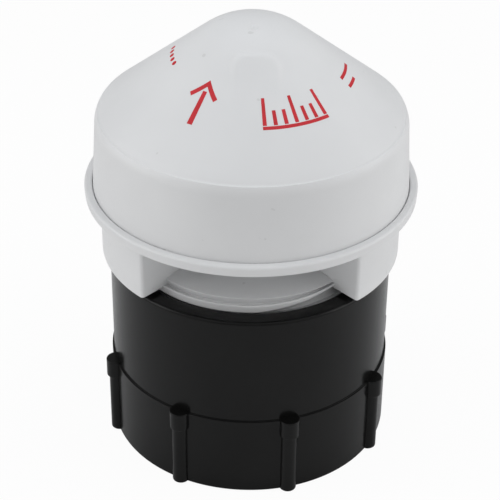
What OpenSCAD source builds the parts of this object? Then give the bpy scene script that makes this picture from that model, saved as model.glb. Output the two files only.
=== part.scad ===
// Air admittance valve for drainage pipes, with its screw-in pipe adapter.
// Origin: centre of the adapter's lower face. +Z points up, -Y faces one air window.

/* [Adapter] */
// Outer diameter of the plain upper part
adapter_d = 68.4; // [66:0.1:74]
// Height of the adapter
adapter_h = 49.6; // [46:0.1:60]
// How far the gripping collar stands out from the upper part
collar_step = 0.8; // [0.4:0.1:2]
// Height of the gripping collar
collar_h = 21.2; // [16:0.1:26]
// Bore of the large pipe socket
large_socket_d = 60.5; // [58:0.1:61]
// Depth of the large pipe socket
large_socket_depth = 19; // [14:0.5:22]
// Bore of the small pipe socket
small_socket_d = 48.4; // [44:0.1:50]
// Depth of the small pipe socket, above the large one
small_socket_depth = 16.5; // [12:0.5:18]
// Wall round the small pipe socket
small_socket_wall = 2.6; // [2:0.1:3]
// Width of the ledge that stops the large pipe
pipe_ledge = 1; // [0.6:0.1:1.4]
// Number of webs in the hollow round the small socket
web_count = 8; // [4:1:12]
// Thickness of a web
web_t = 1.8; // [1.2:0.1:3]
// Thickness of the stop wall above the small socket
stop_wall = 1.8; // [1.2:0.1:3]
// Hole through the stop wall
throat_d = 41; // [34:0.5:43]
// Edge rounding of the adapter's upper rim
rim_round = 0.6; // [0.2:0.1:1.2]

/* [Grip ribs] */
// Number of grip ribs round the collar
rib_count = 8; // [4:1:12]
// Angle of the first rib from the front
rib_angle = 16.6; // [0:0.1:45]
// Width of a rib
rib_w = 3.7; // [2.4:0.1:5]
// How far a rib stands out from the collar
rib_reach = 1.25; // [0.6:0.05:1.8]
// Width of a rib's head
head_w = 4.8; // [3.6:0.1:6]
// How far a head stands out from the collar
head_reach = 1.95; // [1:0.05:2.3]
// Height of a head
head_h = 4.9; // [3:0.1:8]
// How far a head stands above the collar
head_rise = 0.3; // [0.1:0.05:0.8]

/* [Stem and gasket] */
// Thickness of the flat gasket under the stem
gasket_t = 1.5; // [1:0.1:2.5]
// Diameter of the stem at the root of its thread
stem_d = 55.8; // [54:0.1:57]
// Wall of the stem
stem_wall = 2.7; // [2:0.1:4]
// Space for the thread between the stem and the screw chamber
thread_space = 1.9; // [1.5:0.05:2.4]
// Gap between the screw chamber and what turns in it
screw_gap = 0.35; // [0.25:0.05:0.6]
// Height of the plain land above the thread
land_h = 1.9; // [1.5:0.1:3.5]
// Angle from the front at which the thread's groove starts to open below the land
groove_start = 3; // [-30:1:20]
// Climb of the groove's upper edge where it opens
groove_climb = 6.2; // [3:0.1:9]

/* [Valve body] */
// Gap between the adapter's rim and the legs
leg_gap = 1.1; // [0.6:0.1:3]
// Diameter over the legs
leg_d = 72; // [68:0.1:74]
// Height of the legs
leg_h = 15.3; // [12:0.1:22]
// Angle of each air window
window_angle = 87; // [60:1:110]
// Wall of the legs
leg_wall = 2; // [1.4:0.1:3]
// Rounding of the legs' upright edges
leg_round = 0.8; // [0.3:0.1:1.5]
// Height of the window floor's edge above the legs' foot
floor_rise = 1.9; // [1.4:0.1:2.4]
// Slope of the window floor
floor_slope = 7; // [3:0.5:12]
// Thickness of the window floor
floor_t = 2; // [1.4:0.1:3]
// Outer diameter of the centre tube
tube_d = 36.4; // [30:0.2:40]
// Wall of the centre tube
tube_wall = 2.2; // [1.4:0.1:3]
// Diameter at the flange's lower edge
flange_d = 79.1; // [77:0.1:84]
// Thickness of the flange
flange_t = 1.5; // [1:0.1:2.5]
// Height of the rim above the flange's lower face
rim_h = 2.5; // [2:0.05:5]
// Wall of the rim
rim_w = 1.85; // [0.8:0.05:2]
// How far the rim leans out
rim_flare = 0.2; // [0:0.05:0.8]

/* [Valve seats] */
// Height of the seats above the flange's lower face
seat_h = 6; // [5:0.1:9]
// Bore inside the outer seat
outer_seat_d = 62; // [56:0.2:63]
// Wall under the outer seat
seat_wall = 1.6; // [1:0.1:2]
// Width of the seats' flat lips
lip_w = 0.6; // [0.3:0.1:1]

/* [Insect screen] */
// Thickness of the screen
screen_t = 1.2; // [0.8:0.1:1.6]
// Gap round the screen's edges
screen_gap = 0.3; // [0.1:0.05:0.6]
// Width of a slot in the screen
slot_w = 1; // [0.6:0.1:1.2]
// Number of slots in the screen
slot_count = 40; // [24:1:44]
// Width of the screen's inner and outer bands
screen_band = 1.6; // [1:0.1:3]

/* [Float] */
// Thickness of the rubber membrane
membrane_t = 1.6; // [1:0.1:2.5]
// How far the membrane reaches past the outer seat's wall
membrane_reach = 0.4; // [0.1:0.1:1]
// Thickness of the float's plate
plate_t = 1.4; // [1:0.1:2]
// Width and height of the float's raised edge
edge_h = 1.2; // [0.8:0.1:2]
// Diameter of the float's hub
hub_d = 13; // [11:0.5:16]
// Height of the hub above the plate
hub_h = 6; // [4:0.5:7]
// Diameter of the guide pin
pin_d = 7.5; // [6:0.1:9]
// Length of the guide pin above the hub
pin_l = 16; // [12:0.5:17]
// Number of stiffening ribs on the plate
vane_count = 6; // [4:1:10]
// Thickness of a stiffening rib
vane_t = 1.2; // [0.8:0.1:2]
// Travel of the float
float_travel = 6; // [4:0.5:7]

/* [Membrane clip] */
// Thickness of the clip's plate
clip_t = 1.2; // [0.8:0.1:2]
// Gap between the clip and the centre tube
clip_gap = 2; // [1:0.1:4]
// Diameter of the boss that fills the membrane's hole
boss_d = 17.4; // [12:0.2:20]
// Diameter of the clip's peg
peg_d = 4.4; // [3:0.1:5.5]
// Length of the clip's peg
peg_l = 4.5; // [2:0.1:6]

/* [Cap] */
// Diameter where the skirt and the cone would meet
cap_d = 73.14; // [70:0.1:75]
// Height of that corner above the flange's lower face
corner_h = 20.2; // [18:0.1:30]
// Widening of the skirt for each unit of height
skirt_taper = 0.06; // [0.02:0.005:0.07]
// Distance from that corner in to the cone's lower edge
edge_step = 0.65; // [0.3:0.05:1.5]
// Rounding between the cone's lower edge and the skirt
corner_round = 5; // [3:0.1:8]
// Slope of the cone
cone_slope = 38.75; // [34:0.25:42]
// Rounding radius of the tip
tip_round = 20; // [14:0.5:24]
// Wall of the cap
cap_wall = 1.8; // [1.2:0.1:2.1]
// Distance from the axis to the upper end of the soft swell in front
swell_start = 14; // [12:0.5:18]
// How far the swell stands out there
swell_rise = 0.5; // [0.2:0.05:0.8]
// Radius of the swell's rounded form
swell_r = 14; // [12:0.5:18]
// How much steeper the swell falls than the cone
swell_dip = 2.2; // [1.5:0.1:4]
// Running clearance of the pin in its guide
guide_gap = 0.08; // [0.03:0.01:0.1]
// Wall of the guide tube
guide_wall = 2; // [1.4:0.1:3]
// Clearance above the hub at the end of its travel
stop_gap = 0.4; // [0.3:0.1:1]
// Height of the ring that centres the cap
spigot_h = 2.2; // [1.2:0.1:3]
// Wall of that ring
spigot_wall = 1.1; // [0.8:0.1:1.6]
// Gap between that ring and the skirt
spigot_gap = 0.25; // [0.1:0.05:0.4]

/* [Hidden] */
$fn = 96;
eps = 0.01;

white = [0.87, 0.87, 0.87];
black = [0.08, 0.08, 0.08];
rubber = [0.16, 0.16, 0.17];
grey = [0.72, 0.73, 0.74];

// Adapter levels and radii
adapter_r = adapter_d / 2;
collar_r = adapter_r + collar_step;
large_socket_r = large_socket_d / 2;
small_socket_r = small_socket_d / 2;
chamber_r = stem_d / 2 + thread_space;
chamber_z = large_socket_depth + small_socket_depth + stop_wall;
small_socket_end_z = chamber_z - stop_wall;
pocket_in_r = small_socket_r + small_socket_wall;
pocket_out_r = large_socket_r - pipe_ledge;
pocket_top_z = small_socket_end_z - stop_wall;
chamber_mouth = 0.4;

// Stem, legs and flange
stem_z = chamber_z + gasket_t;
stem_r = stem_d / 2;
stem_bore_r = stem_r - stem_wall;
land_r = chamber_r - screw_gap;
leg_z = adapter_h + leg_gap;
leg_r = leg_d / 2;
flange_z = leg_z + leg_h;
flange_r = flange_d / 2;
flange_top_z = flange_z + flange_t;
rim_top_z = flange_z + rim_h;
tube_r = tube_d / 2;
tube_bore_r = tube_r - tube_wall;

// Window floor, a shallow cone that rises towards the tube
floor_edge_z = leg_z + floor_rise;
floor_ledge = 0.85;
floor_edge_r = land_r - floor_ledge;
groove_d = 1.2;
groove_w = 0.25;
groove_slant = 0.1;
groove_drop = 1.3;
land_top_z = floor_edge_z - groove_drop;
land_chamfer = 0.3;
land_z = land_top_z - land_h;
thread_relief = 0.1;
leg_sole = 0.4;
function floor_at(r) = floor_edge_z + (floor_edge_r - r) * tan(floor_slope);

// Seats
seat_z = flange_z + seat_h;
outer_seat_r = outer_seat_d / 2;
seat_out_r = outer_seat_r + seat_wall;
seat_cone = 1.2;
lip_inset = 0.5;

// Insect screen
screen_drop = 0.6;
screen_z = flange_z - screen_t - screen_drop;
screen_in_r = tube_r + screen_gap;
screen_out_r = outer_seat_r - screen_gap;

// Float stack
plate_z = seat_z + membrane_t;
plate_top_z = plate_z + plate_t;
membrane_r = seat_out_r + membrane_reach;
hub_top_z = plate_top_z + hub_h;
hub_r = hub_d / 2;
pin_r = pin_d / 2;
pin_top_z = hub_top_z + pin_l;
clip_r = tube_bore_r - clip_gap;
boss_r = boss_d / 2;
peg_r = peg_d / 2;
fit_gap = 0.15;
vane_drop = 1.8;
vane_top_z = hub_top_z - vane_drop;

// Cap outline: a tapered skirt, a rounded shoulder, a cone and a round tip
corner = [cap_d / 2, flange_z + corner_h];
skirt_angle = atan(skirt_taper);
skirt_normal = [cos(skirt_angle), sin(skirt_angle)];
skirt_way = [sin(skirt_angle), -cos(skirt_angle)];
cone_normal = [sin(cone_slope), cos(cone_slope)];
cone_way = [cos(cone_slope), -sin(cone_slope)];
cone_edge = corner + edge_step * [-1, tan(cone_slope)];
edge_depth = skirt_normal * (corner - cone_edge);
bend_rise = sqrt(corner_round ^ 2 - (corner_round - edge_depth) ^ 2);
bend_centre = cone_edge + (edge_depth - corner_round) * skirt_normal + bend_rise * skirt_way;
tip_z = (cone_normal * corner - tip_round) / cone_normal[1];
swell_tail = 5;
guide_r = pin_r + guide_gap;
guide_out_r = guide_r + guide_wall;
guide_z = hub_top_z + float_travel + stop_gap;
spigot_r = skirt_at(flange_top_z + spigot_h) - cap_wall / skirt_normal[0] - spigot_gap;

function skirt_at(z) = corner[0] + (corner[1] - z) * skirt_taper;

// Flat wedge with its tip on the Y axis and its middle on +Y
module wedge(angle, reach, tip = 0) {
    half = angle / 2;
    polygon([[0, tip], [reach * sin(half), tip + reach * cos(half)], [0, 2 * reach],
             [-reach * sin(half), tip + reach * cos(half)]]);
}

// Tube between two heights
module tube(r_in, r_out, z_low, z_high) {
    rotate_extrude()
        translate([r_in, z_low]) square([r_out - r_in, z_high - z_low]);
}

// Solid outline of the adapter with its ribbed collar
module adapter_blank() {
    rotate_extrude() {
        square([collar_r, collar_h]);
        square([adapter_r, adapter_h - rim_round]);
        square([adapter_r - rim_round, adapter_h]);
        translate([adapter_r - rim_round, adapter_h - rim_round]) circle(rim_round);
    }
    for (i = [0 : rib_count - 1])
        rotate(rib_angle - 90 + i * 360 / rib_count) {
            translate([collar_r + rib_reach - rib_w / 2, 0])
                cylinder(d = rib_w, h = collar_h - head_h / 2);
            translate([collar_r + head_reach - head_w / 2, 0, collar_h + head_rise - head_h])
                cylinder(d = head_w, h = head_h);
        }
}

// Hollow round the small socket, with webs that stiffen it
module adapter_pocket() {
    difference() {
        tube(pocket_in_r, pocket_out_r, large_socket_depth - eps, pocket_top_z);
        for (i = [0 : web_count - 1])
            rotate(rib_angle - 90 + i * 360 / web_count)
                translate([0, -web_t / 2, 0]) cube([adapter_r, web_t, adapter_h]);
    }
}

// Sockets for two pipe sizes below, screw chamber above
module adapter() {
    color(black) difference() {
        adapter_blank();
        translate([0, 0, -eps]) cylinder(r = large_socket_r, h = large_socket_depth + eps);
        cylinder(r = small_socket_r, h = small_socket_end_z);
        adapter_pocket();
        cylinder(d = throat_d, h = adapter_h);
        translate([0, 0, chamber_z]) cylinder(r = chamber_r, h = adapter_h);
        translate([0, 0, adapter_h - chamber_mouth])
            cylinder(r1 = chamber_r, r2 = chamber_r + 2 * chamber_mouth, h = 2 * chamber_mouth);
    }
}

// Flat ring that seals the stem's end in the screw chamber
module stem_gasket() {
    color(rubber) tube(throat_d / 2, land_r, chamber_z, stem_z);
}

// Stem, window floor and centre tube in one turned section
module body_core() {
    chamfer = 0.8;
    rotate_extrude()
        polygon([
            [stem_bore_r, stem_z],
            [stem_r - chamfer, stem_z],
            [stem_r, stem_z + chamfer],
            [stem_r, land_z],
            [land_r, land_z + land_chamfer],
            [land_r, land_top_z],
            [land_r - groove_d, land_top_z + groove_slant],
            [land_r - groove_d, land_top_z + groove_slant + groove_w],
            [floor_edge_r, floor_edge_z],
            [tube_r, floor_at(tube_r)],
            [tube_r, seat_z - seat_cone],
            [tube_bore_r + lip_inset + lip_w, seat_z],
            [tube_bore_r + lip_inset, seat_z],
            [tube_bore_r, seat_z - seat_cone],
            [tube_bore_r, floor_at(tube_bore_r) - floor_t],
            [stem_bore_r, floor_at(stem_bore_r) - floor_t]
        ]);
}

// Upper end of the thread's groove: it opens below the land and climbs to full width
module groove_end() {
    intersection() {
        tube(stem_r - thread_relief, chamber_r, land_z - thread_relief, land_top_z - land_chamfer);
        rotate(groove_start) translate([0, -adapter_r, land_z]) rotate([0, -groove_climb, 0])
            translate([0, 0, -adapter_h]) cube([adapter_r, adapter_r, adapter_h]);
    }
}

// Flange with its rim, the outer seat and the ring that centres the cap
module body_flange() {
    rim_r = flange_r + rim_flare;
    rim_in_r = rim_r - rim_w;
    top_round = rim_w * 3 / 4;
    round_z = rim_top_z - top_round;
    rotate_extrude() {
        polygon([
            [outer_seat_r, flange_z],
            [flange_r, flange_z],
            [rim_r, round_z],
            [rim_r - top_round, rim_top_z],
            [rim_in_r, rim_top_z],
            [rim_in_r, flange_top_z],
            [seat_out_r, flange_top_z],
            [seat_out_r, seat_z - seat_cone],
            [outer_seat_r + lip_inset + lip_w, seat_z],
            [outer_seat_r + lip_inset, seat_z],
            [outer_seat_r, seat_z - seat_cone]
        ]);
        translate([rim_r - top_round, round_z]) intersection() {
            circle(top_round);
            square(top_round);
        }
        translate([spigot_r - spigot_wall, flange_top_z - eps]) square([spigot_wall, spigot_h + eps]);
    }
}

// Plan of one leg with rounded upright edges
module leg_plan() {
    angle = 180 - window_angle;
    inner = leg_r - leg_round;
    inset = asin(leg_round / inner);
    intersection() {
        circle(leg_r);
        wedge(angle - 2 * inset, leg_d);
    }
    intersection() {
        circle(inner * cos(inset));
        wedge(angle, leg_d);
    }
    for (side = [-1, 1])
        rotate(side * (angle / 2 - inset)) translate([0, inner]) circle(leg_round);
}

// One hollow leg: an outer wall and two upright sides that stand on the window floor
module leg() {
    angle = 180 - window_angle;
    inside_tube_r = tube_r - tube_wall / 2;
    inside_stem_r = stem_r - stem_wall / 2;
    mid_floor_z = floor_at(tube_r) - floor_t / 2;
    hollow_z = floor_at(tube_r) + leg_sole;
    difference() {
        union() {
            translate([0, 0, leg_z]) linear_extrude(leg_h + eps) difference() {
                leg_plan();
                circle(inside_stem_r);
            }
            translate([0, 0, mid_floor_z]) linear_extrude(flange_z + eps - mid_floor_z) difference() {
                leg_plan();
                circle(inside_tube_r);
            }
        }
        translate([0, 0, hollow_z]) linear_extrude(flange_z - hollow_z) intersection() {
            circle(leg_r - leg_wall);
            wedge(angle, leg_d, tip = leg_wall / sin(angle / 2));
        }
        translate([0, 0, screen_z]) cylinder(r = outer_seat_r, h = leg_h);
    }
}

module valve_body() {
    color(white) {
        difference() {
            body_core();
            groove_end();
        }
        body_flange();
        for (side = [-90, 90]) rotate(side) leg();
    }
}

// Slotted ring that keeps insects out of the valve
module insect_screen() {
    slot_l = screen_out_r - screen_in_r - 2 * screen_band;
    color(grey) difference() {
        tube(screen_in_r, screen_out_r, screen_z, screen_z + screen_t);
        for (i = [0 : slot_count - 1])
            rotate(i * 360 / slot_count)
                translate([screen_in_r + screen_band, -slot_w / 2, screen_z - eps])
                    cube([slot_l, slot_w, screen_t + 2 * eps]);
    }
}

// Filled outline of the cap, moved inwards by inset
module cap_outline(inset, z_low) {
    foot_r = skirt_at(z_low) - inset / skirt_normal[0];
    bend = corner_round - inset;
    depth = cone_normal * (corner - bend_centre) - inset;
    side = bend_centre + bend * skirt_normal;
    edge = bend_centre + depth * cone_normal + sqrt(bend ^ 2 - depth ^ 2) * cone_way;
    crown = [0, tip_z] + (tip_round - inset) * cone_normal;
    polygon([[0, z_low], [foot_r, z_low], side, edge, crown, [0, crown[1]]]);
    intersection() {
        translate(bend_centre) circle(bend);
        polygon([bend_centre, 2 * side - bend_centre, 2 * edge - bend_centre]);
    }
    intersection() {
        translate([0, tip_z]) circle(tip_round - inset);
        translate([0, crown[1]]) square(tip_round);
    }
}

// Soft swell on the front of the cone, round above and fading out below
module cap_swell() {
    depth = swell_r - swell_rise;
    start = [swell_start, corner[1] + (corner[0] - swell_start) * tan(cone_slope)];
    centre = start - depth * cone_normal;
    length = swell_rise / tan(swell_dip) + swell_tail;
    difference() {
        translate([0, -centre[0], centre[1]]) {
            sphere(swell_r);
            rotate([90 + cone_slope + swell_dip, 0, 0]) cylinder(r = swell_r, h = length);
        }
        rotate_extrude() cap_outline(cap_wall / 2, 0);
    }
}

// Conical cap with a guide tube for the float's pin
module cap() {
    color(white) {
        rotate_extrude() {
            difference() {
                cap_outline(0, flange_top_z);
                cap_outline(cap_wall, flange_top_z - eps);
            }
            intersection() {
                translate([guide_r, guide_z]) square([guide_wall, tip_z + tip_round - guide_z]);
                cap_outline(cap_wall / 2, flange_top_z);
            }
        }
        cap_swell();
    }
}

// Plate with hub, stiffening ribs and guide pin
module float() {
    end_chamfer = 1;
    edge_r = membrane_r;
    color(grey) difference() {
        union() {
            rotate_extrude()
                polygon([
                    [0, plate_z],
                    [edge_r, plate_z],
                    [edge_r, plate_top_z + edge_h],
                    [edge_r - edge_h, plate_top_z + edge_h],
                    [edge_r - edge_h, plate_top_z],
                    [hub_r, plate_top_z],
                    [hub_r, hub_top_z],
                    [pin_r, hub_top_z],
                    [pin_r, pin_top_z - end_chamfer],
                    [pin_r - end_chamfer, pin_top_z],
                    [0, pin_top_z]
                ]);
            for (i = [0 : vane_count - 1])
                rotate(i * 360 / vane_count) vane(edge_r - edge_h / 2);
        }
        translate([0, 0, plate_z - eps]) cylinder(r = peg_r + fit_gap, h = peg_l + fit_gap + eps);
    }
}

// Stiffening rib that falls from the hub to the plate's edge
module vane(reach) {
    rotate([90, 0, 0]) translate([0, 0, -vane_t / 2])
        linear_extrude(vane_t)
            polygon([
                [hub_r / 2, plate_top_z - plate_t / 2],
                [reach, plate_top_z - plate_t / 2],
                [reach, plate_top_z + edge_h],
                [hub_r, vane_top_z],
                [hub_r / 2, vane_top_z]
            ]);
}

// Soft ring that closes the gap between the two seats
module membrane() {
    color(rubber) tube(boss_r + fit_gap, membrane_r, seat_z, plate_z);
}

// Plug that holds the membrane against the plate
module membrane_clip() {
    color(grey) {
        translate([0, 0, seat_z - clip_t]) cylinder(r = clip_r, h = clip_t);
        translate([0, 0, seat_z - eps]) cylinder(r = boss_r, h = membrane_t + eps);
        translate([0, 0, plate_z - eps]) cylinder(r = peg_r, h = peg_l + eps);
    }
}

adapter();
stem_gasket();
valve_body();
insect_screen();
cap();
float();
membrane();
membrane_clip();
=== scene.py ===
"""Looks of an air admittance valve that stands in its pipe adapter. Lengths are millimetres times MM."""

import math

import bmesh
import bpy
from mathutils import Matrix, Vector


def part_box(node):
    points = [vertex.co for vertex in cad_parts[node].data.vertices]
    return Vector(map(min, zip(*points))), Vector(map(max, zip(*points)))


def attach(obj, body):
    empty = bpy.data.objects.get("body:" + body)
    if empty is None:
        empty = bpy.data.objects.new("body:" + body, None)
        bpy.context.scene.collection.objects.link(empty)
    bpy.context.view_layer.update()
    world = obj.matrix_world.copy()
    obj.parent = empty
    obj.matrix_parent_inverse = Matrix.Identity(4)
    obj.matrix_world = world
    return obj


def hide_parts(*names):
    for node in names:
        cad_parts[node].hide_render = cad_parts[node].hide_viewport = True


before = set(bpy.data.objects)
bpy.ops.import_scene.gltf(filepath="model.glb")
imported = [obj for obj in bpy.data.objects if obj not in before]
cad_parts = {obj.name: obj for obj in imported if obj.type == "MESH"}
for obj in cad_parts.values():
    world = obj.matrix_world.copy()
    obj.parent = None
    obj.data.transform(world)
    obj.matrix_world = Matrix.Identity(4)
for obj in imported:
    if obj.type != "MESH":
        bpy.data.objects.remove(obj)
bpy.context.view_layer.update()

# Pipe adapter: one black ABS moulding, turned in form, with two stepped pipe sockets below and a screw
# chamber above. Every edge has the small rounding of its mould.
MM = 0.001
adapter_r = 34.2
adapter_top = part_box("adapter")[1].z / MM
collar_stands = 0.45
collar_r = adapter_r + collar_stands
collar_top = 21.2
large_socket_r = 30.25
large_socket_top = 19
small_socket_r = 24.2
small_socket_top = 35.5
socket_wall = 2.6
pocket_in_r = small_socket_r + socket_wall
pocket_step = 1
pocket_out_r = large_socket_r - pocket_step
pocket_roof = 1.8
pocket_top = small_socket_top - pocket_roof
throat_r = 20.5
chamber_r = 29.8
chamber_floor = 37.3
mouth = 0.4
hair_round, fine_round, small_round = 0.1, 0.2, 0.3
soft_round, mid_round, full_round = 0.4, 0.5, 0.6
collar_round, lip_round = 0.15, 0.8
side_use = 0.9
arc_steps = 5
support = 0.12
fine_turn = 256
seam_gap = 1e-7
sharp_angle = math.radians(38)


def rounded(corners, room=0.5):
    """Closed outline through corners of (radius, height, rounding), each an arc with points beside it. A
    rounding stays inside the given share of each side."""
    points = []
    for i, (r, z, size) in enumerate(corners):
        here = Vector((r, z))
        back = Vector(corners[i - 1][:2]) - here
        on = Vector(corners[(i + 1) % len(corners)][:2]) - here
        angle = back.angle(on)
        if size == 0:
            points.append(here)
            continue
        reach = size / math.tan(angle / 2)
        most = side_use * room * min(back.length, on.length)
        size *= min(1, most / reach)
        reach = min(reach, most)
        back_way, on_way = back.normalized(), on.normalized()
        centre = here + (back_way + on_way).normalized() * size / math.sin(angle / 2)
        first = here + back_way * reach - centre
        last = here + on_way * reach - centre
        sweep = math.pi - angle
        points.append(centre + first + back_way * min(support, (room * back.length - reach) / 2))
        for k in range(arc_steps + 1):
            share = k / arc_steps
            turn = first * math.sin((1 - share) * sweep) + last * math.sin(share * sweep)
            points.append(centre + turn / math.sin(sweep))
        points.append(centre + last + on_way * min(support, (room * on.length - reach) / 2))
    return points


def wall_between(shape, ring, following):
    """Faces from one closed ring of points to the next."""
    for i in range(len(ring)):
        j = (i + 1) % len(ring)
        shape.faces.new((ring[i], ring[j], following[j], following[i]))


def turned(shape, outline_at, steps=fine_turn, centre=(0, 0)):
    """Turns a closed outline round an upright axis. outline_at gives it for each angle from the front."""
    rings = []
    for k in range(steps):
        phi = 2 * math.pi * k / steps
        ring = []
        for r, z in outline_at(phi):
            place = (centre[0] + r * math.sin(phi), centre[1] - r * math.cos(phi), z)
            ring.append(shape.verts.new(Vector(place) * MM))
        rings.append(ring)
    for k in range(steps):
        wall_between(shape, rings[k], rings[(k + 1) % steps])


def finished(name, shape, material):
    """Closes a mesh, points its faces outwards and makes it an object with one material."""
    bmesh.ops.remove_doubles(shape, verts=shape.verts, dist=seam_gap)
    bmesh.ops.recalc_face_normals(shape, faces=shape.faces)
    mesh = bpy.data.meshes.new(name)
    shape.to_mesh(mesh)
    shape.free()
    mesh.shade_smooth()
    mesh.set_sharp_from_angle(angle=sharp_angle)
    mesh.materials.append(material)
    made = bpy.data.objects.new(name, mesh)
    bpy.context.scene.collection.objects.link(made)
    return made


def new_group(name, kind, inputs, outputs):
    """A node group with named inputs and outputs, and its two end nodes."""
    group = bpy.data.node_groups.new(name, kind)
    for label, socket in inputs:
        group.interface.new_socket(name=label, in_out="INPUT", socket_type=socket)
    for label, socket in outputs:
        group.interface.new_socket(name=label, in_out="OUTPUT", socket_type=socket)
    return group, group.nodes.new("NodeGroupInput"), group.nodes.new("NodeGroupOutput")


def noise(group, scale_from, detail):
    """Noise on Object coordinates, with its scale from a socket."""
    place = group.nodes.new("ShaderNodeTexCoord")
    texture = group.nodes.new("ShaderNodeTexNoise")
    texture.inputs["Detail"].default_value = detail
    group.links.new(place.outputs["Object"], texture.inputs["Vector"])
    group.links.new(scale_from, texture.inputs["Scale"])
    return texture.outputs["Fac"]


noise_part = (0.35, 0.65)


def spread(group, value, low, high, part=noise_part):
    """Stretches a part of a noise to the range between two sockets or numbers."""
    stretch = group.nodes.new("ShaderNodeMapRange")
    stretch.inputs["From Min"].default_value = part[0]
    stretch.inputs["From Max"].default_value = part[1]
    group.links.new(value, stretch.inputs["Value"])
    for label, end in (("To Min", low), ("To Max", high)):
        if isinstance(end, (int, float)):
            stretch.inputs[label].default_value = end
        else:
            group.links.new(end, stretch.inputs[label])
    return stretch.outputs["Result"]


mix_colours = (6, 7)
mix_result = 2


def colour_mix(group, share, *colours):
    """Mixes the colours of two sockets."""
    mix = group.nodes.new("ShaderNodeMix")
    mix.data_type = "RGBA"
    group.links.new(share, mix.inputs["Factor"])
    for place, colour in zip(mix_colours, colours):
        group.links.new(colour, mix.inputs[place])
    return mix.outputs[mix_result]


number, tint = "NodeSocketFloat", "NodeSocketColor"
flow_detail, grain_detail, mark_detail = 3, 2, 1
mark_part = (0.765, 0.80)
mark_scale = 420
mark_tone = (0.30, 0.29, 0.27)
skin_group, skin_in, skin_out = new_group(
    "moulded_skin", "ShaderNodeTree",
    [("Tone", tint), ("Shade", tint), ("Flow scale", number), ("Grain scale", number),
     ("Grain depth", number), ("Smooth", number), ("Dull", number), ("Mark scale", number),
     ("Mark strength", number), ("Mark tone", tint)],
    [("Color", tint), ("Roughness", number), ("Normal", "NodeSocketVector")])
skin_flow = noise(skin_group, skin_in.outputs["Flow scale"], flow_detail)
skin_grain = noise(skin_group, skin_in.outputs["Grain scale"], grain_detail)
skin_bump = skin_group.nodes.new("ShaderNodeBump")
skin_group.links.new(skin_grain, skin_bump.inputs["Height"])
skin_group.links.new(skin_in.outputs["Grain depth"], skin_bump.inputs["Distance"])
skin_share = spread(skin_group, skin_flow, 0, 1)
skin_clean = colour_mix(skin_group, skin_share, skin_in.outputs["Tone"], skin_in.outputs["Shade"])
skin_spots = noise(skin_group, skin_in.outputs["Mark scale"], mark_detail)
skin_marks = spread(skin_group, skin_spots, 0, skin_in.outputs["Mark strength"], part=mark_part)
skin_group.links.new(
    colour_mix(skin_group, skin_marks, skin_clean, skin_in.outputs["Mark tone"]),
    skin_out.inputs["Color"])
skin_group.links.new(
    spread(skin_group, skin_grain, skin_in.outputs["Smooth"], skin_in.outputs["Dull"]),
    skin_out.inputs["Roughness"])
skin_group.links.new(skin_bump.outputs["Normal"], skin_out.inputs["Normal"])


def moulded(name, tone, shade, flow, grain, depth, smooth, dull, specular, marks=0):
    """Material of a moulded skin: its flow marks, its grain, its gloss and faint marks of handling."""
    material = bpy.data.materials.new(name)
    material.use_nodes = True
    tree = material.node_tree
    shader = tree.nodes["Principled BSDF"]
    shader.inputs["Specular IOR Level"].default_value = specular
    skin = tree.nodes.new("ShaderNodeGroup")
    skin.node_tree = skin_group
    settings = {"Tone": (*tone, 1), "Shade": (*shade, 1), "Flow scale": flow, "Grain scale": grain,
                "Grain depth": depth * MM, "Smooth": smooth, "Dull": dull, "Mark scale": mark_scale,
                "Mark strength": marks, "Mark tone": (*mark_tone, 1)}
    for label, value in settings.items():
        skin.inputs[label].default_value = value
    tree.links.new(skin.outputs["Color"], shader.inputs["Base Color"])
    tree.links.new(skin.outputs["Roughness"], shader.inputs["Roughness"])
    tree.links.new(skin.outputs["Normal"], shader.inputs["Normal"])
    return material


black_abs = moulded("black_abs", tone=(0.0034, 0.0034, 0.0033), shade=(0.0054, 0.0054, 0.0052), flow=45,
                    grain=1800, depth=0.008, smooth=0.17, dull=0.25, specular=0.18)
adapter_outline = rounded([
    (collar_r, 0, mid_round),
    (collar_r, collar_top, collar_round),
    (adapter_r, collar_top, hair_round),
    (adapter_r, adapter_top, lip_round),
    (chamber_r + mouth, adapter_top, fine_round),
    (chamber_r, adapter_top - mouth, fine_round),
    (chamber_r, chamber_floor, small_round),
    (throat_r, chamber_floor, small_round),
    (throat_r, small_socket_top, small_round),
    (small_socket_r, small_socket_top, soft_round),
    (small_socket_r, large_socket_top, mid_round),
    (pocket_in_r, large_socket_top, soft_round),
    (pocket_in_r, pocket_top, full_round),
    (pocket_out_r, pocket_top, full_round),
    (pocket_out_r, large_socket_top, small_round),
    (large_socket_r, large_socket_top, fine_round),
    (large_socket_r, 0, full_round)])
adapter_shape = bmesh.new()
turned(adapter_shape, lambda phi: adapter_outline)
adapter_shell = finished("adapter_shell", adapter_shape, black_abs)
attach(adapter_shell, "adapter")
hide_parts("adapter")

# Grip ribs and inner webs of the adapter: half-round ribs with thicker heads for a strap wrench, and flat
# webs that stiffen the hollow round the small socket. All are moulded with the adapter, at even angles.
rib_count = 8
rib_angle = math.radians(16.6)
rib_w, rib_stands = 4.1, 1.7
rib_r = collar_r + rib_stands - rib_w / 2
head_w, head_stands = 4.9, 2.3
head_r = collar_r + head_stands - head_w / 2
head_low, head_top = 16.6, 21.5
head_round = 0.25
rib_lap = 1
rib_top = head_low + rib_lap
rib_turn, head_turn = 40, 48
web_t = 1.8
web_sink = 0.2
web_round = 0.2

copies_tree, copies_in, copies_out = new_group(
    "ring_of_copies", "GeometryNodeTree",
    [("Piece", "NodeSocketGeometry"), ("Count", "NodeSocketInt"), ("First angle", number),
     ("Finish", "NodeSocketMaterial")],
    [("Ring", "NodeSocketGeometry")])


def chain(tree, *steps):
    """Links each output to the input that follows it in the list."""
    for source, target in zip(steps[::2], steps[1::2]):
        tree.links.new(source, target)


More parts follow.
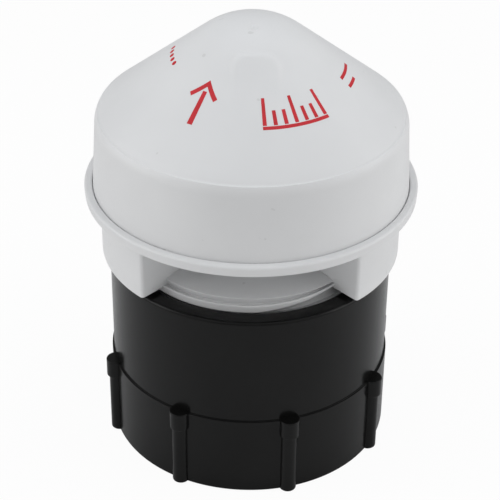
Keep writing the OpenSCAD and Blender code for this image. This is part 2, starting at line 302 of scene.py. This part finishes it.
def math_node(tree, operation, first, second):
    """A Math node on two sockets or numbers."""
    made = tree.nodes.new("ShaderNodeMath")
    made.operation = operation
    for socket, value in zip(made.inputs, (first, second)):
        if isinstance(value, (int, float)):
            socket.default_value = value
        else:
            tree.links.new(value, socket)
    return made.outputs[0]


ring_points = copies_tree.nodes.new("GeometryNodePoints")
ring_index = copies_tree.nodes.new("GeometryNodeInputIndex")
ring_step = math_node(copies_tree, "DIVIDE", 2 * math.pi, copies_in.outputs["Count"])
ring_turn = math_node(copies_tree, "MULTIPLY", ring_index.outputs[0], ring_step)
ring_angle = math_node(copies_tree, "ADD", ring_turn, copies_in.outputs["First angle"])
ring_axis = copies_tree.nodes.new("ShaderNodeCombineXYZ")
ring_euler = copies_tree.nodes.new("FunctionNodeEulerToRotation")
ring_place = copies_tree.nodes.new("GeometryNodeInstanceOnPoints")
ring_real = copies_tree.nodes.new("GeometryNodeRealizeInstances")
ring_finish = copies_tree.nodes.new("GeometryNodeSetMaterial")
chain(copies_tree,
      copies_in.outputs["Count"], ring_points.inputs["Count"],
      ring_angle, ring_axis.inputs["Z"],
      ring_axis.outputs[0], ring_euler.inputs[0],
      ring_euler.outputs[0], ring_place.inputs["Rotation"],
      ring_points.outputs[0], ring_place.inputs["Points"],
      copies_in.outputs["Piece"], ring_place.inputs["Instance"],
      ring_place.outputs[0], ring_real.inputs[0],
      ring_real.outputs[0], ring_finish.inputs["Geometry"],
      copies_in.outputs["Finish"], ring_finish.inputs["Material"],
      ring_finish.outputs[0], copies_out.inputs["Ring"])


def grown(piece, tree, **settings):
    """Runs a Geometry Nodes tree on a piece and keeps the result as a plain mesh."""
    modifier = piece.modifiers.new(tree.name, "NODES")
    modifier.node_group = tree
    for item in tree.interface.items_tree:
        label = item.name.replace(" ", "_").lower()
        if item.in_out == "INPUT" and label in settings:
            modifier[item.identifier] = settings[label]
    depsgraph = bpy.context.evaluated_depsgraph_get()
    mesh = bpy.data.meshes.new_from_object(piece.evaluated_get(depsgraph), depsgraph=depsgraph)
    piece.modifiers.clear()
    piece.data = mesh
    mesh.name = piece.name


rib_shape = bmesh.new()
rib_outline = rounded([
    (0, 0, 0),
    (rib_w / 2, 0, soft_round),
    (rib_w / 2, rib_top, 0),
    (0, rib_top, 0)])
head_outline = rounded([
    (0, head_low, 0),
    (head_w / 2, head_low, small_round),
    (head_w / 2, head_top, head_round),
    (0, head_top, 0)])
turned(rib_shape, lambda phi: rib_outline, steps=rib_turn, centre=(0, -rib_r))
turned(rib_shape, lambda phi: head_outline, steps=head_turn, centre=(0, -head_r))
grip_ribs = finished("grip_ribs", rib_shape, black_abs)

web_shape = bmesh.new()
web_length = pocket_out_r - pocket_in_r + 2 * web_sink
web_size = Vector((web_t, web_length, pocket_top - large_socket_top + web_sink))
web_middle = Vector((0, -(pocket_in_r + pocket_out_r) / 2, large_socket_top + web_size.z / 2))
bmesh.ops.create_cube(web_shape, size=1, matrix=Matrix.Translation(web_middle * MM)
                      @ Matrix.Diagonal((*(web_size * MM), 1)))
bmesh.ops.bevel(web_shape, geom=web_shape.edges[:], offset=web_round * MM, segments=2, affect="EDGES")
socket_webs = finished("socket_webs", web_shape, black_abs)
for piece in (grip_ribs, socket_webs):
    grown(piece, copies_tree, count=rib_count, first_angle=rib_angle, finish=black_abs)
    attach(piece, "adapter")

# Screw thread: a right-handed thread on the stem and the matching one in the adapter's chamber, both
# moulded with a blunt ridge that fades out at its ends.
pitch = 2.209
stem_r = 27.9
thread_depth = 1.25
thread_crest = 0.35
thread_root = 1.1
thread_sink = 0.1
thread_turns = 4.4
thread_steps = 90
thread_end = math.radians(120)
thread_end_z = 48.2
thread_low = thread_end_z - thread_turns * pitch
thread_angle = thread_end - math.pi / 2 - 2 * math.pi * thread_turns
fade_share = 0.06
fade_least = 0.02

thread_tree, thread_in, thread_out = new_group(
    "screw_thread", "GeometryNodeTree",
    [("Radius", number), ("Turns", number), ("Pitch", number), ("Depth", number), ("Root width", number),
     ("Crest width", number), ("Inwards", number), ("Low end", number), ("First angle", number),
     ("Finish", "NodeSocketMaterial")],
    [("Thread", "NodeSocketGeometry")])
thread_path = thread_tree.nodes.new("GeometryNodeCurveSpiral")
thread_path.inputs["Resolution"].default_value = thread_steps
thread_path.inputs["Reverse"].default_value = True
thread_lean = thread_tree.nodes.new("GeometryNodeSetCurveNormal")
thread_lean.mode = "Z_UP"
thread_section = thread_tree.nodes.new("GeometryNodeCurvePrimitiveQuadrilateral")
thread_section.mode = "TRAPEZOID"
thread_section.inputs["Offset"].default_value = 0
section_turn = thread_tree.nodes.new("GeometryNodeTransform")
section_shift = thread_tree.nodes.new("ShaderNodeCombineXYZ")
section_angle = thread_tree.nodes.new("ShaderNodeCombineXYZ")
thread_along = thread_tree.nodes.new("GeometryNodeSplineParameter")
thread_sweep = thread_tree.nodes.new("GeometryNodeCurveToMesh")
thread_sweep.inputs["Fill Caps"].default_value = True
thread_place = thread_tree.nodes.new("GeometryNodeTransform")
place_shift = thread_tree.nodes.new("ShaderNodeCombineXYZ")
place_angle = thread_tree.nodes.new("ShaderNodeCombineXYZ")
thread_real = thread_tree.nodes.new("GeometryNodeRealizeInstances")
thread_finish = thread_tree.nodes.new("GeometryNodeSetMaterial")
thread_height = math_node(
    thread_tree, "MULTIPLY", thread_in.outputs["Turns"], thread_in.outputs["Pitch"])
half_depth = math_node(thread_tree, "MULTIPLY", thread_in.outputs["Depth"], 0.5)
outward = math_node(thread_tree, "SUBTRACT", 1, math_node(
    thread_tree, "MULTIPLY", thread_in.outputs["Inwards"], 2))
fade_in = math_node(thread_tree, "DIVIDE", thread_along.outputs["Factor"], fade_share)
fade_out = math_node(thread_tree, "DIVIDE", math_node(
    thread_tree, "SUBTRACT", 1, thread_along.outputs["Factor"]), fade_share)
fade = math_node(thread_tree, "MAXIMUM", fade_least, math_node(
    thread_tree, "MINIMUM", 1, math_node(thread_tree, "MINIMUM", fade_in, fade_out)))
chain(thread_tree,
      thread_in.outputs["Turns"], thread_path.inputs["Rotations"],
      thread_in.outputs["Radius"], thread_path.inputs["Start Radius"],
      thread_in.outputs["Radius"], thread_path.inputs["End Radius"],
      thread_height, thread_path.inputs["Height"],
      thread_in.outputs["Depth"], thread_section.inputs["Height"],
      thread_in.outputs["Root width"], thread_section.inputs["Bottom Width"],
      thread_in.outputs["Crest width"], thread_section.inputs["Top Width"],
      thread_section.outputs[0], section_turn.inputs["Geometry"],
      math_node(thread_tree, "MULTIPLY", half_depth, outward), section_shift.inputs["X"],
      section_shift.outputs[0], section_turn.inputs["Translation"],
      math_node(thread_tree, "MULTIPLY", outward, -math.pi / 2), section_angle.inputs["Z"],
      section_angle.outputs[0], section_turn.inputs["Rotation"],
      thread_path.outputs[0], thread_lean.inputs["Curve"],
      thread_lean.outputs[0], thread_sweep.inputs["Curve"],
      section_turn.outputs[0], thread_sweep.inputs["Profile Curve"],
      fade, thread_sweep.inputs["Scale"],
      thread_sweep.outputs[0], thread_place.inputs["Geometry"],
      thread_in.outputs["Low end"], place_shift.inputs["Z"],
      place_shift.outputs[0], thread_place.inputs["Translation"],
      thread_in.outputs["First angle"], place_angle.inputs["Z"],
      place_angle.outputs[0], thread_place.inputs["Rotation"],
      thread_place.outputs[0], thread_real.inputs[0],
      thread_real.outputs[0], thread_finish.inputs["Geometry"],
      thread_in.outputs["Finish"], thread_finish.inputs["Material"],
      thread_finish.outputs[0], thread_out.inputs["Thread"])

white_skin = moulded("white_moulding", tone=(0.735, 0.738, 0.742), shade=(0.70, 0.703, 0.708), flow=38,
                     grain=1500, depth=0.010, smooth=0.36, dull=0.48, specular=0.5, marks=0.2)
threads = (
    ("stem_thread", "valve", "body_plastic", white_skin, stem_r - thread_sink, 0.0, thread_angle),
    ("chamber_thread", "adapter", "adapter_plastic", black_abs, chamber_r + thread_sink, 1.0,
     thread_angle + math.pi))
for name, body, slot, skin, radius, inwards, angle in threads:
    thread = bpy.data.objects.new(name, bpy.data.meshes.new(name))
    bpy.context.scene.collection.objects.link(thread)
    grown(thread, thread_tree, radius=radius * MM, turns=thread_turns, pitch=pitch * MM,
          depth=(thread_depth + thread_sink) * MM, root_width=thread_root * MM,
          crest_width=thread_crest * MM, inwards=inwards, low_end=thread_low * MM, first_angle=angle,
          finish=skin)
    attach(thread, body)

# Stem gasket: a flat black rubber ring, stamped from sheet. It lies loose on the chamber's floor, under the
# stem's end, and seals the screw joint.
rubber_black = moulded("gasket_black", tone=(0.018, 0.018, 0.018), shade=(0.028, 0.028, 0.028), flow=120,
                       grain=2600, depth=0.02, smooth=0.62, dull=0.8, specular=0.35)


def dress(node, material):
    """Gives a carried-over node its finish."""
    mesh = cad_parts[node].data
    mesh.materials.clear()
    mesh.materials.append(material)


dress("stem_gasket", rubber_black)

# Valve body: one white moulding. A turned core holds the stem, the window floor and the centre tube, and
# a turned flange above holds the rim, the outer seat and the ring that centres the cap.
land_r = 29.45
land_top = 51.3
land_climb = 1.0
land_low = 49.4
land_fades = 1.6
land_round = 0.25
floor_edge_r, floor_edge = 28.6, 52.6
floor_slope = math.tan(math.radians(7))
floor_t = 2
tube_r, tube_bore_r = 18.2, 16
stem_bore_r = 25.2
stem_low = 38.8
stem_lead = 0.8
flange_low, flange_top = 66, 67.5
flange_r, rim_r = 39.55, 39.75
flange_round, rim_round = 0.12, 0.6
flange_room = 0.8
rim_top, rim_edge = 68.6, 68.45
rim_in_r = 37.8
seat_top = 72
seat_cone = 1.2
seat_lip_from, seat_lip_to = 0.5, 1.1
outer_seat_r, seat_out_r = 31, 32.6
centring_r, centring_t, centring_h = 35.5, 1.1, 2.2
centring_top = flange_top + centring_h
groove_start = math.radians(3)
groove_climb = math.tan(math.radians(6.2))
groove_top = 51.5
groove_depth, groove_deepens = 1.2, 3.2
groove_most = 2.7
trough, trough_deepens = 1.0, 0.6
relief_w, relief_depth = 3.4, 2.1
flank = 0.75


def floor_at(r):
    """Height of the window floor at a radius."""
    return floor_edge + (floor_edge_r - r) * floor_slope


def core_outline(phi):
    """Section of the core at an angle from the front. The thread runs out towards the right: there the
    groove above the land deepens, and the land climbs and fades."""
    turn = phi - groove_start
    low = land_low
    if 0 < turn < math.pi / 2:
        low = min(groove_top, land_low + land_r * math.sin(turn) * groove_climb)
    run_out = max(0, math.sin(phi))
    top = land_top + land_climb * run_out
    edge_r = land_r - land_fades * run_out ** 2
    groove_r = floor_edge_r - min(groove_most, groove_depth + groove_deepens * run_out ** 2)
    groove_z = top - trough - trough_deepens * run_out
    return rounded([
        (stem_bore_r, stem_low, small_round),
        (stem_r - stem_lead, stem_low, fine_round),
        (stem_r, stem_low + stem_lead, fine_round),
        (stem_r, low - relief_w, fine_round),
        (stem_r - relief_depth, low - relief_w + relief_depth, fine_round),
        (stem_r - relief_depth, low - flank, fine_round),
        (edge_r - flank, low - flank, fine_round),
        (edge_r, low, fine_round),
        (edge_r, top, land_round),
        (groove_r, groove_z, fine_round),
        (floor_edge_r, floor_edge, hair_round),
        (tube_r, floor_at(tube_r), mid_round),
        (tube_r, seat_top - seat_cone, fine_round),
        (tube_bore_r + seat_lip_to, seat_top, hair_round),
        (tube_bore_r + seat_lip_from, seat_top, hair_round),
        (tube_bore_r, seat_top - seat_cone, fine_round),
        (tube_bore_r, floor_at(tube_bore_r) - floor_t, soft_round),
        (stem_bore_r, floor_at(stem_bore_r) - floor_t, full_round)])


flange_outline = rounded([
    (outer_seat_r, flange_low, small_round),
    (flange_r, flange_low, flange_round),
    (rim_r, rim_edge, rim_round),
    (rim_in_r, rim_top, soft_round),
    (rim_in_r, flange_top, fine_round),
    (centring_r, flange_top, hair_round),
    (centring_r, centring_top, fine_round),
    (centring_r - centring_t, centring_top, fine_round),
    (centring_r - centring_t, flange_top, hair_round),
    (seat_out_r, flange_top, fine_round),
    (seat_out_r, seat_top - seat_cone, fine_round),
    (outer_seat_r + seat_lip_to, seat_top, hair_round),
    (outer_seat_r + seat_lip_from, seat_top, hair_round),
    (outer_seat_r, seat_top - seat_cone, fine_round)], room=flange_room)
body_shape = bmesh.new()
turned(body_shape, core_outline)
turned(body_shape, lambda phi: flange_outline)

# Legs of the valve body: two hollow boxes that carry the flange and leave an air window in front and
# behind. They are moulded with the body, and their upright and lower edges are rounded.
leg_r = 36
leg_low = 50.5
window_angle = 87
leg_half = math.radians((180 - window_angle) / 2)
leg_wall = 2
leg_round, leg_least_round = 0.8, 0.1
leg_foot_round = 0.35
leg_foot_in_r = 26.55
leg_in_r = 17.1
leg_step = 53
leg_hollow = 54.3
leg_sink = 0.2
leg_top = flange_low + leg_sink
leg_corner_steps = 6
leg_outer_steps, leg_inner_steps = 40, 12
foot_steps = 4


def leg_point(r, angle, side):
    """Point at a radius and an angle from a leg's middle, on the right or the left of the valve."""
    return Vector((side * r * math.cos(angle), side * r * math.sin(angle)))


def leg_corner(end, middle_r, bend, lean, side):
    """Rounded upright edge at one end of a leg, from its side face to its outer wall."""
    middle = leg_point(middle_r, end * (leg_half - lean), side)
    points = []
    for k in range(leg_corner_steps + 1):
        turn = end * (leg_half + math.pi / 2 - k / leg_corner_steps * (math.pi / 2 + lean))
        points.append(middle + leg_point(bend, turn, side))
    return points


def leg_loop(inner_r, inset, side):
    """Closed plan of a leg, moved in by inset from its side faces and its outer wall."""
    outer = leg_r - inset
    bend = leg_round - min(inset, leg_round - leg_least_round)
    middle_r = outer - bend
    lean = math.asin((inset + bend) / middle_r)
    face_r = math.sqrt(inner_r ** 2 - inset ** 2)
    inner_half = leg_half - math.asin(inset / inner_r)
    loop = [leg_point(face_r, -inner_half, side)]
    loop += leg_corner(-1, middle_r, bend, lean, side)
    for k in range(1, leg_outer_steps):
        loop.append(leg_point(outer, (leg_half - lean) * (2 * k / leg_outer_steps - 1), side))
    loop += leg_corner(1, middle_r, bend, lean, side)[::-1]
    loop.append(leg_point(face_r, inner_half, side))
    for k in range(1, leg_inner_steps):
        loop.append(leg_point(inner_r, inner_half * (1 - 2 * k / leg_inner_steps), side))
    return loop


def close_stack(shape, rings):
    """Walls from ring to ring of a stack, and a face over each end."""
    for ring, following in zip(rings, rings[1:]):
        wall_between(shape, ring, following)
    shape.faces.new(rings[0])
    shape.faces.new(rings[-1])


def add_leg(shape, side):
    """Walls of one leg from its rounded foot up to the flange, with the hollow inside."""
    levels = []
    for k in range(foot_steps + 1):
        turn = math.pi / 2 * k / foot_steps
        inset = leg_foot_round * (1 - math.sin(turn))
        levels.append((leg_foot_in_r, inset, leg_low + leg_foot_round * (1 - math.cos(turn))))
    levels.append((leg_foot_in_r, 0, leg_low + leg_foot_round + support))
    levels.append((leg_foot_in_r, 0, leg_step))
    levels.append((leg_in_r, 0, leg_step))
    levels.append((leg_in_r, 0, leg_top))
    levels.append((leg_in_r + leg_wall, leg_wall, leg_top))
    levels.append((leg_in_r + leg_wall, leg_wall, leg_hollow))
    rings = []
    for inner_r, inset, z in levels:
        loop = leg_loop(inner_r, inset, side)
        rings.append([shape.verts.new(Vector((*p, z)) * MM) for p in loop])
    close_stack(shape, rings)


for side in (-1, 1):
    add_leg(body_shape, side)
valve_body_shell = finished("valve_body_shell", body_shape, white_skin)
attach(valve_body_shell, "valve")
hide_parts("valve_body")

# Insect screen and float: light grey mouldings inside the valve. The screen is snapped under the flange,
# and the float rides on its pin with the clip pressed into it.
grey_skin = moulded("inner_grey", tone=(0.56, 0.57, 0.58), shade=(0.52, 0.53, 0.54), flow=60,
                    grain=1500, depth=0.012, smooth=0.42, dull=0.55, specular=0.45)
for node in ("insect_screen", "float", "membrane_clip"):
    dress(node, grey_skin)

# Membrane: a soft dark rubber ring, stamped from sheet. The clip holds it under the float, where it closes
# both seats.
rubber_soft = moulded("membrane_dark", tone=(0.03, 0.03, 0.032), shade=(0.045, 0.045, 0.048), flow=150,
                      grain=2400, depth=0.02, smooth=0.6, dull=0.75, specular=0.35)
dress("membrane", rubber_soft)

# Cap: one white moulding with a tapered skirt, a rounded shoulder, a cone and a round tip. It is welded
# into the body's rim, and a guide tube inside it holds the float's pin. A soft swell and the mark of the
# mould's gate show on the cone.
corner_r, corner_z = 36.57, 86.2
corner_round = 5
edge_step = 0.65
edge_lip = 0.35
lip_dip = 0.15
lip_shares = (0.3, 0.85)
roll_off = 2.4
skirt_taper = 0.06
skirt_lean = math.atan(skirt_taper)
skirt_shares = (0.25, 0.5, 0.75)
cone_slope = math.radians(38.75)
tip_round = 20
cap_wall = 1.8
cap_low = flange_top
cap_foot_round = 0.25
cap_turn = 320
tip_steps, cone_steps, shoulder_steps = 48, 72, 12
guide_r, guide_out_r = 3.83, 5.83
guide_low = 87.4
swell_top = 11.5
swell_middle = 0.9
swell_side = 5.2
swell_bend = 2.6
swell_edge = 2.2
swell_rise = 0.72
swell_length = 14
gate_place = Vector((0.3, -4.5))
gate_r = 0.6
gate_depth = 0.26
gate_ring_r, gate_ring_rise, gate_ring_narrow = 1.6, 0.4, 4
plain_edge = 3
axis_gap = 1e-6
skirt_normal = Vector((math.cos(skirt_lean), math.sin(skirt_lean)))
skirt_way = Vector((math.sin(skirt_lean), -math.cos(skirt_lean)))
cone_normal = Vector((math.sin(cone_slope), math.cos(cone_slope)))
cone_way = Vector((math.cos(cone_slope), -math.sin(cone_slope)))
corner = Vector((corner_r, corner_z))
cone_edge = corner + edge_step * Vector((-1, math.tan(cone_slope)))
edge_depth = skirt_normal.dot(corner - cone_edge)
bend_centre = (cone_edge + (edge_depth - corner_round) * skirt_normal
               + math.sqrt(corner_round ** 2 - (corner_round - edge_depth) ** 2) * skirt_way)
tip_centre = Vector((0, (cone_normal.dot(corner) - tip_round) / cone_normal.y))


def cap_side(inset, tip_from):
    """Profile of the cap from the tip down to the foot, moved in by inset and cut off inside tip_from."""
    tip_r = tip_round - inset
    bend = corner_round - inset
    depth = cone_normal.dot(corner - bend_centre) - inset
    edge = bend_centre + depth * cone_normal + math.sqrt(bend ** 2 - depth ** 2) * cone_way
    first = math.asin(tip_from / tip_r)
    points = []
    for k in range(tip_steps + 1):
        turn = first + (cone_slope - first) * k / tip_steps
        points.append(tip_centre + tip_r * Vector((math.sin(turn), math.cos(turn))))
    top = points[-1]
    lip = edge - edge_lip * cone_way
    for k in range(1, cone_steps + 1):
        place = top.lerp(lip, k / cone_steps)
        rolled = 0 if inset else max(0, 1 - (lip - place).length / roll_off)
        points.append(place - lip_dip * rolled ** 2 * cone_normal)
    if not inset:
        rolled_lip = points[-1]
        points += [rolled_lip.lerp(edge, share) for share in lip_shares]
    first_turn = math.atan2(edge.x - bend_centre.x, edge.y - bend_centre.y)
    for k in range(shoulder_steps + 1):
        turn = first_turn + (math.pi / 2 - skirt_lean - first_turn) * k / shoulder_steps
        points.append(bend_centre + bend * Vector((math.sin(turn), math.cos(turn))))
    side = points[-1]
    foot_r = corner_r + (corner_z - cap_low) * math.tan(skirt_lean) - inset / skirt_normal.x
    foot = Vector((foot_r, cap_low))
    points.append(side.lerp(foot, support / (side - foot).length))
    points += [side.lerp(foot, share) for share in skirt_shares]
    points.append(foot.lerp(side, (cap_foot_round + support) / (side - foot).length))
    away = Vector((1, 0)) if inset else Vector((-1, 0))
    for k in range(foot_steps + 1):
        turn = math.pi / 2 * k / foot_steps
        points.append(foot + cap_foot_round * (1 - math.sin(turn)) * Vector((0, 1))
                      + cap_foot_round * (1 - math.cos(turn)) * away)
    return points


guide_meets = tip_centre.y + math.sqrt((tip_round - cap_wall) ** 2 - guide_r ** 2)
guide_bore = [Vector((0, tip_centre.y + tip_round - cap_wall)), Vector((guide_r, guide_meets)),
              Vector((guide_r, guide_low)), Vector((guide_out_r, guide_low))]
cap_outline = cap_side(0, 0) + cap_side(cap_wall, guide_out_r)[::-1] + guide_bore[::-1]
cap_shape = bmesh.new()
turned(cap_shape, lambda phi: cap_outline, steps=cap_turn)


def swell_height(x, y):
    """How far the front swell stands out of the cone at a place in plan. It has a soft edge with rounded
    corners, and fades out down the cone."""
    down = (-y - swell_top) / cone_way.x
    past_side = max(0, abs(x - swell_middle) - swell_side + swell_bend)
    inside = swell_bend - math.hypot(past_side, max(0, swell_bend - down))
    edge = min(1, max(0, inside / swell_edge + 0.5))
    fade = max(0, 1 - max(0, down) / swell_length)
    return swell_rise * edge ** 2 * (3 - 2 * edge) * fade ** 2


def gate_height(x, y):
    """Depth of the gate mark's dimple, with a low ring round it."""
    away = (Vector((x, y)) - gate_place).length / gate_r
    ring = math.exp(-(away - gate_ring_r) ** 2 * gate_ring_narrow)
    return -gate_depth * math.exp(-away ** 2) + gate_ring_rise * gate_depth * ring


def cap_rise(x, y):
    """How far the outside of the cap stands out of its turned form."""
    return swell_height(x, y) + gate_height(x, y)


for vert in cap_shape.verts:
    place = vert.co / MM
    reach = Vector((place.x, place.y))
    level = Vector((reach.length, place.z))
    outer = level.dot(cone_normal) > corner.dot(cone_normal) - cap_wall / 2
    near_tip = (level - tip_centre).length > tip_round - cap_wall / 2
    on_top = axis_gap < reach.length < corner_r - plain_edge
    if on_top and place.y < 0 and (outer or near_tip):
        out = reach.normalized() * cone_normal.x
        vert.co += Vector((out.x, out.y, cone_normal.y)) * cap_rise(reach.x, reach.y) * MM
cap_shell = finished("cap_shell", cap_shape, white_skin)
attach(cap_shell, "valve")
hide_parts("cap")

# Printed marks: a plain arrow, a scale, two lines and a row of dots in red ink on the cone. Each is a thin
# closed film that follows the cone and its swell.
ink_over, ink_under = 0.035, 0.02
ink_step = 0.4
bold, thin = 1.1, 0.8
arrow_mark = (math.radians(-31.5), 21.9)
arrow_shaft = ((0, -5.5), (0, 2.8))
arrow_head = ((-3.4, 1.2), (0, 4.8), (3.4, 1.2))
scale_mark = (math.radians(23.6), 22.2)
scale_base = ((-7, -4), (7, -4))
tick_low = -3.4
tick_gap = 2.2
tick_lengths = (6.5, 3.5, 3.5, 6.5, 3.5, 3.5, 6.5)
dot_mark = (math.radians(-86), 18.4)
dot_r = 0.6
dot_steps = 24
dot_places = (-4, -2, 0, 2, 4)
line_mark = (math.radians(80), 22.3)
line_pair = (((-4, 1.3), (4, 1.3)), ((-4, -1.3), (0.5, -1.3)))
red_ink = moulded("red_ink", tone=(0.58, 0.014, 0.024), shade=(0.52, 0.010, 0.018), flow=300, grain=2600,
                  depth=0.004, smooth=0.4, dull=0.55, specular=0.4)


def on_cone(mark, spot, lift):
    """Place on the cone's skin, across and up from the middle of a mark, with a lift off the skin. A mark
    is an angle from the front and a radius."""
    angle, middle_r = mark
    r = middle_r - spot.y * cone_way.x
    phi = angle + spot.x / middle_r
    way = Vector((math.sin(phi), -math.cos(phi)))
    rise = (cap_rise(*(way * r)) + lift) * cone_normal
    height = corner_z + (corner_r - r) * math.tan(cone_slope)
    return Vector((*(way * (r + rise.x)), height + rise.y)) * MM


def ink_line(shape, mark, line, width):
    """Film along a line of points, with its corners mitred."""
    line = [Vector(spot) for spot in line]
    pairs = []
    for i, spot in enumerate(line):
        back = (spot - line[max(i - 1, 0)]).normalized()
        on = (line[min(i + 1, len(line) - 1)] - spot).normalized()
        way = (back + on).normalized()
        across = Vector((-way.y, way.x))
        side = back if i else on
        across *= width / 2 / across.dot(Vector((-side.y, side.x)))
        pairs.append((spot + across, spot - across))
    edges = [pairs[0]]
    for first, last in zip(pairs, pairs[1:]):
        steps = math.ceil((first[0] - last[0]).length / ink_step)
        for k in range(1, steps + 1):
            edges.append((first[0].lerp(last[0], k / steps), first[1].lerp(last[1], k / steps)))
    rings = []
    for left, right in edges:
        corners = ((left, -ink_under), (left, ink_over), (right, ink_over), (right, -ink_under))
        rings.append([shape.verts.new(on_cone(mark, spot, lift)) for spot, lift in corners])
    close_stack(shape, rings)


def ink_dot(shape, mark, spot):
    """Round film about a spot."""
    rings = []
    for lift in (-ink_under, ink_over):
        ring = []
        for k in range(dot_steps):
            turn = 2 * math.pi * k / dot_steps
            place = Vector(spot) + dot_r * Vector((math.cos(turn), math.sin(turn)))
            ring.append(shape.verts.new(on_cone(mark, place, lift)))
        rings.append(ring)
    close_stack(shape, rings)


ink_shape = bmesh.new()
ink_line(ink_shape, arrow_mark, arrow_shaft, bold)
ink_line(ink_shape, arrow_mark, arrow_head, bold)
ink_line(ink_shape, scale_mark, scale_base, thin)
for k, length in enumerate(tick_lengths):
    across = tick_gap * (k - len(tick_lengths) // 2)
    ink_line(ink_shape, scale_mark, ((across, tick_low), (across, tick_low + length)), thin)
for across in dot_places:
    ink_dot(ink_shape, dot_mark, (across, 0))
for line in line_pair:
    ink_line(ink_shape, line_mark, line, thin)
printed_marks = finished("printed_marks", ink_shape, red_ink)
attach(printed_marks, "valve")

# Floor: a plain pale sheet just under the adapter. It keeps the object's shadow, looks nearly white to
# the camera and is clear from below.
floor_size = 6
floor_gap = 0.02
paper_tone = (0.86, 0.86, 0.86)
paper_glow_share = 0.95
floor_shape = bmesh.new()
bmesh.ops.create_grid(floor_shape, x_segments=1, y_segments=1, size=floor_size / 2,
                      matrix=Matrix.Translation((0, 0, -floor_gap * MM)))
floor_paper = bpy.data.materials.new("floor_paper")
floor_paper.use_nodes = True
paper_tree = floor_paper.node_tree
paper_tree.nodes.clear()
paper_out = paper_tree.nodes.new("ShaderNodeOutputMaterial")
paper_matt = paper_tree.nodes.new("ShaderNodeBsdfDiffuse")
paper_matt.inputs["Color"].default_value = (*paper_tone, 1)
paper_glow = paper_tree.nodes.new("ShaderNodeEmission")
paper_mix = paper_tree.nodes.new("ShaderNodeMixShader")
paper_ray = paper_tree.nodes.new("ShaderNodeLightPath")
paper_share = math_node(paper_tree, "MULTIPLY", paper_ray.outputs["Is Camera Ray"], paper_glow_share)
paper_clear = paper_tree.nodes.new("ShaderNodeBsdfTransparent")
paper_side = paper_tree.nodes.new("ShaderNodeNewGeometry")
paper_sides = paper_tree.nodes.new("ShaderNodeMixShader")
chain(paper_tree,
      paper_share, paper_mix.inputs["Fac"],
      paper_matt.outputs[0], paper_mix.inputs[1],
      paper_glow.outputs[0], paper_mix.inputs[2],
      paper_side.outputs["Backfacing"], paper_sides.inputs["Fac"],
      paper_mix.outputs[0], paper_sides.inputs[1],
      paper_clear.outputs[0], paper_sides.inputs[2],
      paper_sides.outputs[0], paper_out.inputs["Surface"])
floor = finished("floor", floor_shape, floor_paper)

# Studio light: an even white room, with a soft box at each side, one above and a weak one high in front.
# Two wide fills at the front corners lift the shade on the valve.
room_level = 0.39
light_aim = (0, 0, 0.06)
top_tint = (0.95, 0.99, 1.04)
world = bpy.data.worlds.new("white_room")
bpy.context.scene.world = world
world.use_nodes = True
room_tree = world.node_tree
room_tree.nodes.clear()
room_out = room_tree.nodes.new("ShaderNodeOutputWorld")
room_fill = room_tree.nodes.new("ShaderNodeBackground")
room_fill.inputs["Color"].default_value = (1, 1, 1, 1)
room_ray = room_tree.nodes.new("ShaderNodeLightPath")
room_seen = math_node(room_tree, "MAXIMUM", room_ray.outputs["Is Camera Ray"],
                      room_ray.outputs["Is Transmission Ray"])
room_share = math_node(room_tree, "ADD", room_level,
                       math_node(room_tree, "MULTIPLY", room_seen, 1 - room_level))
chain(room_tree,
      room_share, room_fill.inputs["Strength"],
      room_fill.outputs[0], room_out.inputs["Surface"])


def soft_box(name, place, size, power, colour=(1, 1, 1)):
    """A square soft light that points at the middle of the valve."""
    lamp = bpy.data.lights.new(name, "AREA")
    lamp.color = colour
    lamp.size = size
    lamp.energy = power
    box = bpy.data.objects.new(name, lamp)
    box.location = place
    box.rotation_euler = (Vector(light_aim) - Vector(place)).to_track_quat("-Z", "Y").to_euler()
    bpy.context.scene.collection.objects.link(box)


soft_box("left_box", place=(-0.7, -0.05, 0.32), size=0.6, power=1.75)
soft_box("right_box", place=(0.7, -0.05, 0.32), size=0.6, power=1.75)
soft_box("top_box", place=(0, 0, 0.36), size=0.4, power=0.39, colour=top_tint)
soft_box("front_box", place=(0, -0.55, 0.8), size=0.6, power=0.06)
soft_box("left_fill", place=(-0.62, -0.36, 0.35), size=0.9, power=0.7)
soft_box("right_fill", place=(0.62, -0.36, 0.35), size=0.9, power=0.7)

# Camera: at the photograph's viewing angle, in front of the valve and looking down on it. The frame is
# square, and the lens keeps the photograph's strong perspective.
image_px = 500
focal_px = 1623.3
centre_px = 250.26
aim = Vector((0, 0, 0.0475))
distance = 0.39883
elevation = math.radians(32.95)
roll = math.radians(0.7)
lens_data = bpy.data.cameras.new("camera")
lens_data.sensor_width = 36
lens_data.lens = focal_px * lens_data.sensor_width / image_px
lens_data.shift_x = (image_px / 2 - centre_px) / image_px
lens_data.clip_start = 0.01
camera = bpy.data.objects.new("camera", lens_data)
back = Vector((0, -math.cos(elevation), math.sin(elevation)))
camera.location = aim + back * distance
camera.rotation_euler = ((-back).to_track_quat("-Z", "Y").to_matrix()
                         @ Matrix.Rotation(roll, 3, "Z")).to_euler()
bpy.context.scene.collection.objects.link(camera)
bpy.context.scene.camera = camera
bpy.context.scene.view_settings.view_transform = "Standard"
